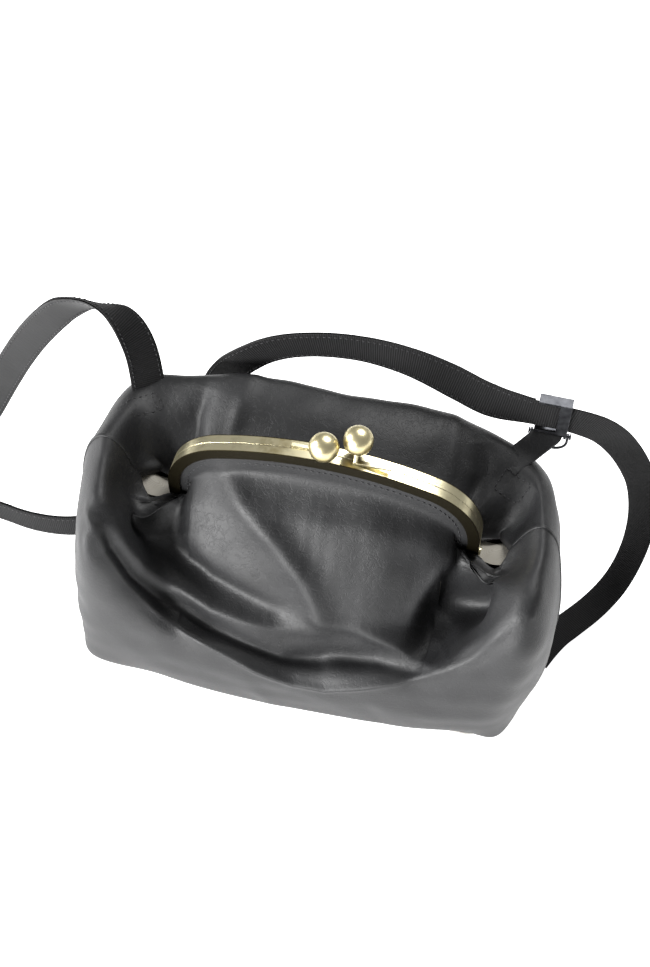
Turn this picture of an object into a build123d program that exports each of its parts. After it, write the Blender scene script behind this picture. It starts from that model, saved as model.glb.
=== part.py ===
"""Kiss-lock frame bag: a soft leather body that stands on its base, closed by arched brass
rails with crossing balls, with a long shoulder strap and its adjuster.

Millimetres. +Z is up, the front faces -Y and the frame's width lies along X. The origin is
at the bottom of the body, in the middle of its bounding box without the strap.
"""
from build123d import *
import math
import os

os.makedirs("parts", exist_ok=True)

# ---- leather body ----
base_w = 318.0
base_d = 153.0
base_corner_r = 24.0
belly_w = 360.0
belly_d = 182.0
belly_corner_r = 60.0
belly_z = 95.0
low_belly_part = 0.47      # the lower filling-out outline, as a part of the belly's height
high_belly_lift = 5.0      # the upper one, above midway between belly and shoulder
shoulder_w = 308.0
shoulder_d = 140.0
shoulder_corner_r = 60.0
shoulder_z = 196.0
base_shift_x = -3.0        # the slumped body leans a little to +X as it rises
shoulder_shift_x = 6.0
shoulder_shift_y = 4.0
panel_t = 2.0
lining_t = 0.8
board_t = 2.0
layer_gap = 0.3
board_margin = 6.0
lip_z = 66.0               # lowest point of the front fold, in the middle
lip_half_w = 146.0
lip_corner_r = 58.0
fold_inner_z = 150.0       # the mouth's side edges lie here, beside the frame's legs
lining_below_fold = 6.0
fold_t = 2.0
leg_gap = 4.0              # from a leg's outer face to the fold beside it
gap_front_y = -8.0         # edges of the open gap beside each leg
gap_back_y = 8.0
fold_front_y = -46.0
fold_back_y = 58.0

# ---- kiss-lock frame ----
frame_x = 6.0
frame_half_w = 112.5
frame_top = 224.0
frame_corner_r = 52.0
frame_blend_deg = 17.5     # slope where the corner arc meets the flatter top arc
rail_w = 7.0
rail_gap = 0.4
rail_wall = 1.0
rail_depth = 8.5
hinge_z = 146.0
ear_r = 4.5
ear_t = 1.4
ear_gap = 0.2
leg_lift = 1.0             # the channels end this far above the ears' discs
neck_h = 6.0               # an ear's neck reaches this far up into the leg
rivet_r = 1.5
rivet_clearance = 0.06
rivet_head_r = 3.0
rivet_head_t = 1.2
hem_t = 1.6
hem_reach = 13.0           # leather that shows below the rail
cord_t = 2.8
fit_gap = 0.2
stitch_pitch = 4.3
stitch_len = 3.0
stitch_t = 0.6
stitch_rise = 0.1
stitch_below_rail = 5.5

# ---- ball clasp ----
ball_d = 20.4
ball_pass_gap = 0.3        # side clearance as the balls pass each other
ball_lift = 14.0           # ball centre above the rail's top
ball_lean = 5.5            # each ball leans over the other rail
clasp_x = 18.0
stem_r = 1.6
plate_len = 26.0
plate_w = 3.0
plate_t = 1.8

# ---- strap, tab and adjuster ----
strap_w = 25.0
webbing_t = 1.5
backing_t = 1.8
strap_gap = 0.4
adjuster_at = Vector(151, 80, 211)
tab_w = 19.0
tab_t = 3.4
tab_leather_t = 1.7
tab_root = Vector(135, 62, 187)
tab_straight_part = 0.3    # the tab leaves the pin square for this part of its length
adjuster_wall = 1.8
adjuster_depth = 8.0
adjuster_inside = 4.8
adjuster_slack = 1.4       # room above and below the strap
cheek_w = 8.0
pin_r = 1.1
pin_drop = 20.4            # the pin's axis below the adjuster's centre
loop_clearance = 0.4
anchor_y = 40.0            # middle of the box stitches, behind the frame's plane
anchor_down = 26.0
anchor_inset = 1.5
anchor_len = 17.0
backing_stop = 10.0        # the leather backing ends this far before the adjuster
bail_r = 1.0
bail_drop = 15.0
bail_roundness = 0.7       # bend radius as a part of half the bail's width
bail_sink = 0.4            # the rod's ends run this far into their eyes
eye_r = 2.3
eye_t = 1.8


def save(name, shape):
    """Write one named piece."""
    export_step(shape, f"parts/{name}.step")


def ring(z, cx, cy, width, depth, corner_r, inset):
    """Rounded outline of the body at one height, drawn in by inset."""
    sketch = RectangleRounded(width - 2 * inset, depth - 2 * inset, corner_r - inset)
    return Pos(cx, cy, z) * sketch


def body_solid(inset, bottom=0.0):
    """The body's bulging form, lofted through five outlines, drawn in by inset."""
    low_z = belly_z * low_belly_part
    high_z = (belly_z + shoulder_z) / 2 + high_belly_lift
    rings = [
        ring(0, base_shift_x, 0, base_w, base_d, base_corner_r, inset),
        ring(low_z, base_shift_x / 2, 0, (base_w + 3 * belly_w) / 4, (base_d + 3 * belly_d) / 4,
             (base_corner_r + 2 * belly_corner_r) / 3, inset),
        ring(belly_z, 0, 0, belly_w, belly_d, belly_corner_r, inset),
        ring(high_z, shoulder_shift_x / 2, shoulder_shift_y / 2, (2 * belly_w + shoulder_w) / 3,
             (2 * belly_d + shoulder_d) / 3, belly_corner_r, inset),
        ring(shoulder_z, shoulder_shift_x, shoulder_shift_y, shoulder_w, shoulder_d,
             shoulder_corner_r, inset),
    ]
    solid = loft(Sketch() + rings)
    if bottom > 0:
        block = Box(2 * belly_w, 2 * belly_d, bottom,
                    align=(Align.CENTER, Align.CENTER, Align.MIN))
        solid = solid - block
    return solid


def front_cut(grow):
    """Space above the front fold: a rounded trough open to the front and the top."""
    height = 2 * (shoulder_z - lip_z)
    profile = RectangleRounded(2 * (lip_half_w + grow), height, lip_corner_r)
    mid_z = lip_z - grow + height / 2
    face = Plane.XZ * Pos(shoulder_shift_x, mid_z) * profile
    return Pos(0, gap_front_y, 0) * extrude(face, belly_d)


def fold_line(side):
    """Upper line of one side fold, from the mouth's edge out to the shoulder."""
    inner = Vector(frame_x + side * (frame_half_w + leg_gap), 0, fold_inner_z)
    outer = Vector(shoulder_shift_x + side * (shoulder_w / 2 - panel_t / 2), 0, shoulder_z)
    return inner, outer


def side_fold(side, y_from, y_to):
    """Leather that rolls over one shoulder and drops to the mouth's side edge."""
    inner, outer = fold_line(side)
    drop = fold_t * (outer - inner).length / abs(outer.X - inner.X)
    corners = [(inner.X, inner.Z), (outer.X, outer.Z), (outer.X, outer.Z - drop),
               (inner.X, inner.Z - drop)]
    face = Plane.XZ * make_face(Polyline(*corners, close=True))
    return Pos(0, y_to, 0) * extrude(face, y_to - y_from)


# ---- leather body: two panels that meet at the side seams, and a base ----
shell = body_solid(0) - body_solid(panel_t)
half_space = Box(2 * belly_w, belly_d, 3 * shoulder_z)
front_half = Pos(0, -belly_d / 2, 0) * half_space
back_half = Pos(0, belly_d / 2, 0) * half_space
folds_front = [side_fold(s, fold_front_y, gap_front_y) for s in (-1, 1)]
folds_back = [side_fold(s, gap_back_y, fold_back_y) for s in (-1, 1)]
front_panel = (shell & front_half) - front_cut(0)
back_panel = shell & back_half
for fold in folds_front:
    front_panel = front_panel + (fold & body_solid(0))
for fold in folds_back:
    back_panel = back_panel + (fold & body_solid(0))
save("front_panel", front_panel)
save("back_panel", back_panel)

floor_face = ring(0, base_shift_x, 0, base_w, base_d, base_corner_r, panel_t + layer_gap)
save("base_panel", extrude(floor_face, panel_t))
board_z = panel_t + layer_gap
board_face = ring(board_z, base_shift_x, 0, base_w, base_d, base_corner_r, board_margin)
save("base_board", extrude(board_face, board_t))

# ---- cotton lining: an open bag inside the panels ----
lining_z = board_z + board_t + layer_gap
lining_out = body_solid(panel_t + layer_gap, lining_z)
lining_in = body_solid(panel_t + layer_gap + lining_t, lining_z + lining_t)
lining_top_z = fold_inner_z - lining_below_fold
above = Box(2 * belly_w, 2 * belly_d, shoulder_z, align=(Align.CENTER, Align.CENTER, Align.MIN))
lining_cut = Pos(0, 0, lining_top_z) * above
save("lining", lining_out - lining_in - lining_cut - front_cut(layer_gap))


# ---- the two rails ----
blend = math.radians(frame_blend_deg)
corner_x = frame_half_w - frame_corner_r
top_r = frame_corner_r + corner_x / math.sin(blend)
corner_z = frame_top - top_r + (top_r - frame_corner_r) * math.cos(blend)
top_centre_z = frame_top - top_r
leg_z = hinge_z + ear_r + leg_lift
neck_top_z = leg_z + neck_h


def arch_points(inset, bottom):
    """Ends and middles of the arch's legs, corner arcs and top arc, left to right."""
    half = frame_half_w - inset
    corner = frame_corner_r - inset
    mid = math.pi / 4 - blend / 2
    left = [(-half, bottom), (-half, corner_z),
            (-corner_x - corner * math.cos(mid), corner_z + corner * math.sin(mid)),
            (-corner_x - corner * math.sin(blend), corner_z + corner * math.cos(blend))]
    top = [(0, top_centre_z + top_r - inset)]
    right = [(-x, z) for x, z in reversed(left)]
    return left + top + right


def arch_line(inset, bottom):
    """Centre line of an arch: leg, corner arc, top arc, corner arc, leg."""
    p = arch_points(inset, bottom)
    return Line(p[0], p[1]) + ThreePointArc(p[1], p[2], p[3]) + ThreePointArc(p[3], p[4], p[5]) \
        + ThreePointArc(p[5], p[6], p[7]) + Line(p[7], p[8])


def arch_face(inset, bottom):
    """Face under an arch, closed by a straight line at the bottom."""
    p = arch_points(inset, bottom)
    return make_face(arch_line(inset, bottom) + Line(p[8], p[0]))


def arch_band(outer, inner, y_front, y_back, bottom):
    """Flat arch between two insets, from y_front to y_back."""
    big = arch_face(outer, bottom)
    small = arch_face(inner, bottom - rail_depth)
    face = Plane.XZ * Pos(frame_x, 0) * (big - small)
    return Pos(0, y_back, 0) * extrude(face, y_back - y_front)


def x_cylinder(radius, x_from, x_to, y, z):
    """Round bar along X."""
    bar = Rot(0, 90, 0) * Cylinder(radius, x_to - x_from)
    return Pos((x_from + x_to) / 2, y, z) * bar


def ear(side, layer, facing):
    """Hinge ear: a disc round the rivet and a neck up to the rail's leg."""
    outer = frame_half_w - layer * (ear_t + ear_gap)
    x_mid = frame_x + side * (outer - ear_t / 2)
    disc = x_cylinder(ear_r, x_mid - ear_t / 2, x_mid + ear_t / 2, 0, hinge_z)
    neck_w = rail_w - rail_wall
    neck_y = facing * (rail_gap / 2 + neck_w / 2)
    rise = neck_top_z - hinge_z
    neck = Pos(x_mid, neck_y, hinge_z + rise / 2) * Box(ear_t, neck_w, rise)
    hole = x_cylinder(rivet_r + rivet_clearance, x_mid - ear_t, x_mid + ear_t, 0, hinge_z)
    return disc + neck - hole


def rail(facing):
    """Brass channel, open towards the inside of the arch. facing is -1 front, +1 back."""
    near = rail_gap / 2
    far = near + rail_w
    y_front, y_back = sorted((facing * near, facing * far))
    web = arch_band(0, rail_wall, y_front, y_back, leg_z)
    flange_front = arch_band(0, rail_depth, y_front, y_front + rail_wall, leg_z)
    flange_back = arch_band(0, rail_depth, y_back - rail_wall, y_back, leg_z)
    channel = web + flange_front + flange_back
    layer = 0 if facing > 0 else 1
    for side in (-1, 1):
        channel = channel + ear(side, layer, facing)
    return channel - clasp_plate(facing)


def ball_centre(facing):
    """Centre of the ball that this rail carries."""
    x = clasp_x + facing * -1 * (ball_d + ball_pass_gap) / 2
    return Vector(x, -facing * ball_lean, frame_top + ball_lift)


plate_y_mid = rail_gap / 2 + rail_wall / 2 + plate_w / 2


def clasp_plate(facing):
    """Bracket plate let into the rail's top, from under the ball outwards."""
    x_mid = ball_centre(facing).X - facing * (plate_len / 2 - stem_r)
    return Pos(x_mid, facing * plate_y_mid, frame_top) * Box(plate_len, plate_w, plate_t)


def clasp_arm(facing):
    """Plate and the leaning stem that carries the ball."""
    ball = ball_centre(facing)
    foot = Vector(ball.X, facing * plate_y_mid, frame_top)
    axis = ball - foot
    stem = Plane(origin=foot, z_dir=axis) * Cylinder(
        stem_r, axis.length, align=(Align.CENTER, Align.CENTER, Align.MIN))
    return clasp_plate(facing) + stem


def clasp_ball(facing):
    """Ball with a socket for its stem."""
    return Pos(*ball_centre(facing)) * Sphere(ball_d / 2) - clasp_arm(facing)


def hem(facing):
    """Leather edge held in the channel and showing below it."""
    y_out = facing * (rail_gap / 2 + rail_w - rail_wall - fit_gap)
    y_front, y_back = sorted((y_out, y_out - facing * hem_t))
    outer = rail_wall + fit_gap
    return arch_band(outer, rail_depth + hem_reach, y_front, y_back, neck_top_z + fit_gap)


def filler(facing):
    """Paper cord that wedges the leather in the channel."""
    y_out = facing * (rail_gap / 2 + rail_w - rail_wall - 2 * fit_gap - hem_t)
    y_front, y_back = sorted((y_out, y_out - facing * cord_t))
    outer = rail_wall + fit_gap
    return arch_band(outer, outer + cord_t, y_front, y_back, neck_top_z + fit_gap)


def hem_stitches(facing):
    """Row of stitches along the hem, below the rail."""
    line = arch_line(rail_depth + stitch_below_rail, neck_top_z + stitch_len)
    wire = Wire(line.edges())
    y_face = facing * (rail_gap / 2 + rail_w - rail_wall - fit_gap + stitch_t / 2 + stitch_rise)
    count = int(wire.length / stitch_pitch)
    stitches = []
    for i in range(count):
        at = wire.position_at((i + 0.5) / count)
        along = wire.tangent_at((i + 0.5) / count)
        turn = math.degrees(math.atan2(along.Y, along.X))
        place = Pos(frame_x + at.X, y_face, at.Y) * Rot(0, -turn, 0)
        stitches.append(place * Box(stitch_len, stitch_t, stitch_t))
    return Compound(children=stitches)


for prefix, facing in (("front", -1), ("back", 1)):
    save(f"{prefix}_rail", rail(facing))
    save(f"{prefix}_filler_cord", filler(facing))
    save(f"{prefix}_mouth_leather", hem(facing))
    save(f"{prefix}_mouth_stitching", hem_stitches(facing))
    save(f"{prefix}_clasp_arm", clasp_arm(facing))
    save(f"{prefix}_clasp_ball", clasp_ball(facing))

# ---- hinge rivets, still in the body while both rails turn on them ----
shank_in = frame_half_w - 2 * ear_t - ear_gap - fit_gap
shank_out = frame_half_w + fit_gap
for prefix, side in (("left", -1), ("right", 1)):
    ends = sorted((frame_x + side * shank_in, frame_x + side * shank_out))
    rivet = x_cylinder(rivet_r, ends[0], ends[1], 0, hinge_z)
    rivet = rivet + x_cylinder(rivet_head_r, ends[0] - rivet_head_t, ends[0], 0, hinge_z)
    rivet = rivet + x_cylinder(rivet_head_r, ends[1], ends[1] + rivet_head_t, 0, hinge_z)
    save(f"{prefix}_hinge_rivet", rivet)

# ---- adjuster, round its own centre: x along the strap, z up, y through it ----
adjuster = Plane(origin=adjuster_at, x_dir=(1, 0, 0), z_dir=(0, 0, 1))
lug_in = tab_w / 2 + layer_gap
lug_out = lug_in + adjuster_wall
inside_z = strap_w / 2 + adjuster_slack
frame_z = inside_z + adjuster_wall
plate_y = adjuster_inside / 2 + adjuster_wall / 2
cap = Box(2 * lug_out, adjuster_depth, adjuster_wall)
top_cap = Pos(0, 0, inside_z + adjuster_wall / 2) * cap
low_cap = Pos(0, 0, -inside_z - adjuster_wall / 2) * cap
front_plate = Pos(lug_out - cheek_w / 2, -plate_y, 0) * Box(cheek_w, adjuster_wall, 2 * frame_z)
back_plate = Pos(-lug_out + cheek_w / 2, plate_y, 0) * Box(cheek_w, adjuster_wall, 2 * frame_z)
buckle = top_cap + low_cap + front_plate + back_plate
for side in (-1, 1):
    lug_x = side * (lug_in + lug_out) / 2
    lug_h = pin_drop - frame_z
    lug = Pos(lug_x, 0, -frame_z - lug_h / 2) * Box(adjuster_wall, 2 * eye_r, lug_h)
    lug = lug + x_cylinder(eye_r, lug_x - adjuster_wall / 2, lug_x + adjuster_wall / 2, 0, -pin_drop)
    lug = lug - x_cylinder(pin_r, lug_x - adjuster_wall, lug_x + adjuster_wall, 0, -pin_drop)
    buckle = buckle + lug
save("buckle_frame", adjuster.location * buckle)
pin_half = lug_out + layer_gap + eye_t + layer_gap
pin = x_cylinder(pin_r, -pin_half, pin_half, 0, -pin_drop)
for side in (-1, 1):
    head = sorted((side * pin_half, side * (pin_half + rivet_head_t)))
    pin = pin + x_cylinder(eye_r, head[0], head[1], 0, -pin_drop)
save("buckle_pin", adjuster.location * pin)

# ---- bail: a bent rod that hangs on the pin's ends ----
bail_x = lug_out + layer_gap + eye_t / 2
bail_top = -pin_drop - eye_r + bail_sink
bail_low = -pin_drop - bail_drop
bend = bail_x * bail_roundness
path = FilletPolyline((-bail_x, 0, bail_top), (-bail_x, 0, bail_low), (bail_x, 0, bail_low),
                      (bail_x, 0, bail_top), radius=bend)
bail = sweep(Plane(origin=(-bail_x, 0, bail_top), z_dir=(0, 0, -1)) * Circle(bail_r), path=path)
for side in (-1, 1):
    ring_x = side * bail_x
    eye = x_cylinder(eye_r, ring_x - eye_t / 2, ring_x + eye_t / 2, 0, -pin_drop)
    hole = x_cylinder(pin_r + rivet_clearance, ring_x - eye_t, ring_x + eye_t, 0, -pin_drop)
    bail = bail + eye
    bail = bail - hole
save("d_bail", adjuster.location * bail)

# ---- leather tab: a loop round the pin, and a doubled leg down to the shoulder ----
loop_r = pin_r + loop_clearance
loop_at = adjuster.location * Pos(0, 0, -pin_drop)
pin_point = loop_at.position
leg = tab_root - pin_point
pin_dir = adjuster.x_dir
leg_normal = pin_dir.cross(leg).normalized()
sleeve = loop_at * (Rot(0, 90, 0) * Cylinder(loop_r + tab_leather_t, tab_w))
bore = loop_at * (Rot(0, 90, 0) * Cylinder(loop_r, tab_w + 2))
straight = leg - pin_dir * leg.dot(pin_dir)
near = [pin_point + pin_dir * (s * tab_w / 2) for s in (-1, 1)]
beside = [p + straight * tab_straight_part for p in near]
far = [p + leg for p in near]
outline = Polyline(near[0], near[1], beside[1], far[1], far[0], beside[0], close=True)
slab = extrude(make_face(outline), amount=tab_t / 2, both=True)
save("buckle_tab", sleeve + slab - bore)


def box_stitches(centre, across, along, width, length):
    """Two rows and two cross rows of thread, on a slope through centre."""
    normal = across.cross(along).normalized()
    stitches = []
    for u_from, v_from, u_to, v_to in ((-1, -1, 1, -1), (1, -1, 1, 1), (1, 1, -1, 1), (-1, 1, -1, -1)):
        start = centre + across * (u_from * width / 2) + along * (v_from * length / 2)
        end = centre + across * (u_to * width / 2) + along * (v_to * length / 2)
        run = end - start
        count = int(run.length / stitch_pitch)
        for i in range(count):
            at = start + run * ((i + 0.5) / count)
            plane = Plane(origin=at, x_dir=run, z_dir=normal)
            stitches.append(plane.location * Box(stitch_len, stitch_t, stitch_t))
    return Compound(children=stitches)


for name, side in (("strap_anchor_stitching", -1), ("tab_stitching", 1)):
    inner, outer = fold_line(side)
    down = (inner - outer).normalized()
    raised = Vector(-side * -down.Z, 0, side * -down.X) * stitch_t
    centre = outer + down * anchor_down + Vector(0, anchor_y, 0) + raised
    save(name, box_stitches(centre, Vector(0, 1, 0), down, strap_w - 2 * anchor_inset, anchor_len))

# ---- strap: route from the sewn end round to the free tail, with the direction across it ----
strap_route = [
    ((-139, 54, 166), (0.83, 0.56, 0.0)),
    ((-142, 63, 194), (0.80, 0.60, 0.0)),
    ((-148, 69, 222), (0.66, 0.74, -0.1)),
    ((-162, 75, 240), (0.38, 0.83, -0.41)),
    ((-184, 79, 242), (-0.05, 0.60, -0.80)),
    ((-206, 83, 228), (0.20, 0.25, -0.93)),
    ((-224, 86, 206), (0.66, 0.0, -0.74)),
    ((-243, 89, 180), (0.74, -0.1, -0.66)),
    ((-262, 90, 150), (0.82, -0.15, -0.52)),
    ((-281, 88, 116), (0.87, -0.1, -0.47)),
    ((-300, 85, 80), (0.87, -0.1, -0.48)),
    ((-321, 80, 44), (0.80, -0.1, -0.6)),
    ((-339, 70, 18), (0.4, 0.0, -0.9)),
    ((-346, 54, 13.2), (0.0, 0.0, -1.0)),
    ((-338, 40, 13.2), (0.0, 0.0, -1.0)),
    ((-318, 36, 13.2), (0.0, 0.0, -1.0)),
    ((-284, 34, 13.2), (0.0, 0.0, -1.0)),
    ((-250, 28, 13.2), (0.0, 0.0, -1.0)),
    ((-214, 32, 13.2), (0.0, 0.0, -1.0)),
    ((-190, 47, 13.2), (0.0, 0.0, -1.0)),
    ((-180, 72, 13.6), (0.0, 0.0, -1.0)),
    ((-168, 95, 20), (0.2, 0.1, -1.0)),
    ((-150, 108, 40), (0.45, 0.15, -0.85)),
    ((-132, 112, 70), (0.75, 0.1, -0.6)),
    ((-118, 112, 104), (0.85, 0.0, -0.5)),
    ((-106, 108, 138), (0.85, 0.0, -0.5)),
    ((-94, 99, 168), (0.8, 0.0, -0.6)),
    ((-79, 90, 194), (0.5, 0.1, -0.85)),
    ((-56, 94, 211), (0.1, 0.05, -1.0)),
    ((-26, 98, 219), (0.0, 0.05, -1.0)),
    ((10, 99, 223), (0.0, 0.0, -1.0)),
    ((46, 94, 224), (-0.1, -0.15, -0.98)),
    ((78, 86, 221), (-0.15, -0.4, -0.9)),
    ((106, 78, 216), (-0.1, -0.4, -0.9)),
    ((133, 80, 211.5), (0.0, -0.05, -1.0)),
    ((168, 80, 210.5), (0.0, 0.0, -1.0)),
    ((190, 89, 194), (-0.35, 0.0, -0.93)),
    ((206, 98, 168), (-0.5, 0.05, -0.86)),
    ((219, 104, 141), (-0.6, 0.1, -0.78)),
    ((229, 108, 114), (-0.68, 0.2, -0.71)),
    ((236, 107, 76), (-0.74, 0.39, -0.55)),
    ((236, 98, 43), (-0.73, 0.55, -0.4)),
    ((229, 82, 19), (-0.69, 0.67, -0.25)),
    ((215, 62, 8), (-0.66, 0.72, -0.2)),
    ((199, 42, 6.5), (-0.6, 0.77, -0.16)),
    ((183, 23, 6), (-0.75, 0.65, -0.1)),
    ((174, 2, 6), (-0.95, 0.3, -0.05)),
]
adjuster_station = 34      # the route passes the adjuster after this point
section_pitch = 9.0
arc_part = 0.45            # of the shorter run beside a corner


def route_path(points):
    """Straight runs joined by tangent arcs, each as large as its runs allow."""
    radii = []
    for before, at, after in zip(points, points[1:], points[2:]):
        turn_angle = math.radians((at - before).get_angle(after - at))
        shorter = min((at - before).length, (after - at).length)
        radii.append(arc_part * shorter / math.tan(turn_angle / 2))
    print("strap arc radii", " ".join(f"{r:.0f}" for r in radii))
    return FilletPolyline(*points, radius=radii)


route_points = [Vector(*p) for p, _ in strap_route]
route_across = [Vector(*a).normalized() for _, a in strap_route]
path = route_path(route_points)
wire = Wire(path.edges())
spans = [(b - a).length for a, b in zip(route_points, route_points[1:])]
marks = [sum(spans[:i]) / sum(spans) for i in range(len(route_points))]


def strap_section(t, inner, outer):
    """Flat section of one layer at fraction t of the path."""
    at = wire.position_at(t)
    along = wire.tangent_at(t).normalized()
    k = min(max(i for i, m in enumerate(marks) if m <= t), len(marks) - 2)
    f = (t - marks[k]) / (marks[k + 1] - marks[k])
    across = route_across[k] * (1 - f) + route_across[k + 1] * f
    across = (across - along * across.dot(along)).normalized()
    face_dir = across.cross(along)
    half = across * (strap_w / 2)
    corners = [at - half + face_dir * inner, at + half + face_dir * inner,
               at + half + face_dir * outer, at - half + face_dir * outer]
    return Wire.make_polygon(corners, close=True)


def strap_layer(t_from, t_to, inner, outer):
    """One layer of the strap between two fractions of its path."""
    count = round((t_to - t_from) * wire.length / section_pitch)
    ts = [t_from + (t_to - t_from) * i / count for i in range(count + 1)]
    return Solid.make_loft([strap_section(t, inner, outer) for t in ts], ruled=True)


webbing_inner = strap_gap / 2
backing_end = marks[adjuster_station] - backing_stop / wire.length
webbing = strap_layer(0.0, 1.0, webbing_inner, webbing_inner + webbing_t)
backing = strap_layer(0.0, backing_end, -webbing_inner - backing_t, -webbing_inner)
print(f"strap length {wire.length:.0f}, webbing volume {webbing.volume:.0f},",
      f"section times length {strap_w * webbing_t * wire.length:.0f}")
save("strap_webbing", webbing)
save("strap_leather", backing)
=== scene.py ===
"""Kiss-lock frame bag in soft black leather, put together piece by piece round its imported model.

Sizes are in millimetres until a mesh is made, where they become metres.
"""
import math

import bpy
import numpy as np
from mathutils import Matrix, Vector


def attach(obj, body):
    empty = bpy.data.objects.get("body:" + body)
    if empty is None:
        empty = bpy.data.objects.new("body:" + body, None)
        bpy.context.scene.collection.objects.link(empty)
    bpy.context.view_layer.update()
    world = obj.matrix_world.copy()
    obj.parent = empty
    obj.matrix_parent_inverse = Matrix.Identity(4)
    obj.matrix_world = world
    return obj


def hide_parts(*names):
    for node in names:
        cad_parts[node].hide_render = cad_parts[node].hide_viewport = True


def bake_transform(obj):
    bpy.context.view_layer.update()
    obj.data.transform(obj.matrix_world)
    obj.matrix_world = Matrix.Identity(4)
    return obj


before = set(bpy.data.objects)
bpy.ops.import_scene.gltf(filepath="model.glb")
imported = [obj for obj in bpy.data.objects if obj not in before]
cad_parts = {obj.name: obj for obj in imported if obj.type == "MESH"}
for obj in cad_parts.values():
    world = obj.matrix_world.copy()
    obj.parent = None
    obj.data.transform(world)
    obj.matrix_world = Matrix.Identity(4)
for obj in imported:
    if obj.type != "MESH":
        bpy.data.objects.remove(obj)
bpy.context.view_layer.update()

# ---- Brass rails ----
# Each half of the frame is a bent brass channel with a hinge ear at each foot. It is cast and
# plated in antique brass, then brushed along its length. Its colour is darker in clouds of wear,
# and its faces turned to the leather are painted near black as painted shade.


class Field:
    """A number that varies over a surface. Each operator adds one Math node."""

    def __init__(self, finish, socket):
        self.finish = finish
        self.socket = socket

    def math(self, operation, *others):
        return self.finish.node("ShaderNodeMath", {"operation": operation}, self, *others)

    def __add__(self, other):
        return self.math("ADD", other)

    def __sub__(self, other):
        return self.math("SUBTRACT", other)

    def __mul__(self, other):
        return self.math("MULTIPLY", other)

    def __rsub__(self, other):
        return self.math("MULTIPLY", -1.0).math("ADD", other)

    __radd__ = __add__
    __rmul__ = __mul__

    def over(self, low, high):
        """0 at low and 1 at high, smoothly between."""
        settings = {"interpolation_type": "SMOOTHSTEP"}
        return self.finish.node("ShaderNodeMapRange", settings, self, low, high)


class Finish:
    """One finish of the bag: a material with a principled shader and the nodes that feed it."""

    def __init__(self, name, **fixed):
        self.material = bpy.data.materials.new(name)
        self.material.use_nodes = True
        self.tree = self.material.node_tree
        self.shader = self.tree.nodes["Principled BSDF"]
        self.feed(self.shader, fixed)

    def feed(self, node, inputs):
        """Put a value or a link into each named or numbered socket."""
        for key, value in inputs.items():
            socket = node.inputs[key.replace("_", " ") if isinstance(key, str) else key]
            if isinstance(value, Field):
                self.tree.links.new(value.socket, socket)
            else:
                socket.default_value = value

    def node(self, kind, settings, *values, out=0, **named):
        """Add a node of this kind: its settings first, then its inputs in order or by name."""
        made = self.tree.nodes.new(kind)
        stops = settings.pop("stops", None)
        for key, value in settings.items():
            setattr(made, key, value)
        if stops:
            ramp = made.color_ramp.elements
            while len(ramp) < len(stops):
                ramp.new(0.5)
            for element, (position, colour) in zip(ramp, stops):
                element.position = position
                element.color = colour
        self.feed(made, dict(enumerate(values)))
        self.feed(made, named)
        return Field(self, made.outputs[out])

    def place(self, scale=(1, 1, 1), turn=(0, 0, 0)):
        """Position in the bag's own frame, in metres, stretched by scale."""
        here = self.node("ShaderNodeTexCoord", {}, out="Object")
        return self.node("ShaderNodeMapping", {}, here, Scale=scale, Rotation=turn)

    def along(self, scale=(1, 1, 1)):
        """Position on the piece's own UV map, stretched by scale."""
        here = self.node("ShaderNodeTexCoord", {}, out="UV")
        return self.node("ShaderNodeMapping", {}, here, Scale=scale)

    def noise(self, where, scale, detail=3.0, rough=0.5, distortion=0.0):
        """Soft cloudy pattern, about 0.5 in the middle."""
        return self.node("ShaderNodeTexNoise", {}, Vector=where, Scale=scale, Detail=detail,
                         Roughness=rough, Distortion=distortion)

    def cells(self, where, scale):
        """Distance to the nearest of many scattered points."""
        return self.node("ShaderNodeTexVoronoi", {}, Vector=where, Scale=scale)

    def colours(self, field, *stops):
        """Colour read from a ramp of (position, (r, g, b))."""
        full = [(at, (*colour, 1.0)) for at, colour in stops]
        return self.node("ShaderNodeValToRGB", {"stops": full}, field)

    def bump(self, height, distance, strength=1.0, over=None):
        """Surface normal tilted by a height pattern; distance is its full height in metres."""
        extra = {} if over is None else {"Normal": over}
        return self.node("ShaderNodeBump", {}, Height=height, Distance=distance,
                         Strength=strength, **extra)

    def surface(self, **inputs):
        """Feed the principled shader."""
        self.feed(self.shader, inputs)
        return self.material


def dress(nodes, finish):
    """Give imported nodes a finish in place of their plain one."""
    for name in nodes:
        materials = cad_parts[name].data.materials
        materials.clear()
        materials.append(finish)


def brass_finish(name, bright, dark, roughness):
    """Antique plating: bright, darker in clouds of wear, and nearly black in painted shade on the
    faces that are turned to the leather, with fine brushing along the rail."""
    brass = Finish(name)
    place = brass.place()
    clouds = brass.noise(place, 38.0, 4.0, 0.6)
    specks = brass.noise(place, 900.0, 2.0)
    brushing = brass.noise(brass.place((0.12, 1, 1)), 2600.0, 2.0)
    side = brass.node("ShaderNodeSeparateXYZ", {}, place, out="Y").math("ABSOLUTE")
    # clouds of wear, times a painted shade that falls to zero on the faces turned to the leather
    wear_and_shade = (0.4 + 0.6 * clouds.over(0.25, 0.55)) * (1 - side.over(0.0062, 0.0069))
    # near-black colour of the painted shade on the faces turned to the leather
    black = tuple(0.05 * part for part in dark)
    rounded = brass.node("ShaderNodeBevel", {"samples": 4}, Radius=0.0007)
    return brass.surface(
        Base_Color=brass.colours(wear_and_shade, (0.0, black), (0.4, dark), (1.0, bright)),
        Metallic=1.0,
        Roughness=roughness + 0.16 * (1 - wear_and_shade) + 0.08 * specks,
        Normal=brass.bump(brushing, 0.00002, 0.6, rounded))


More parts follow.
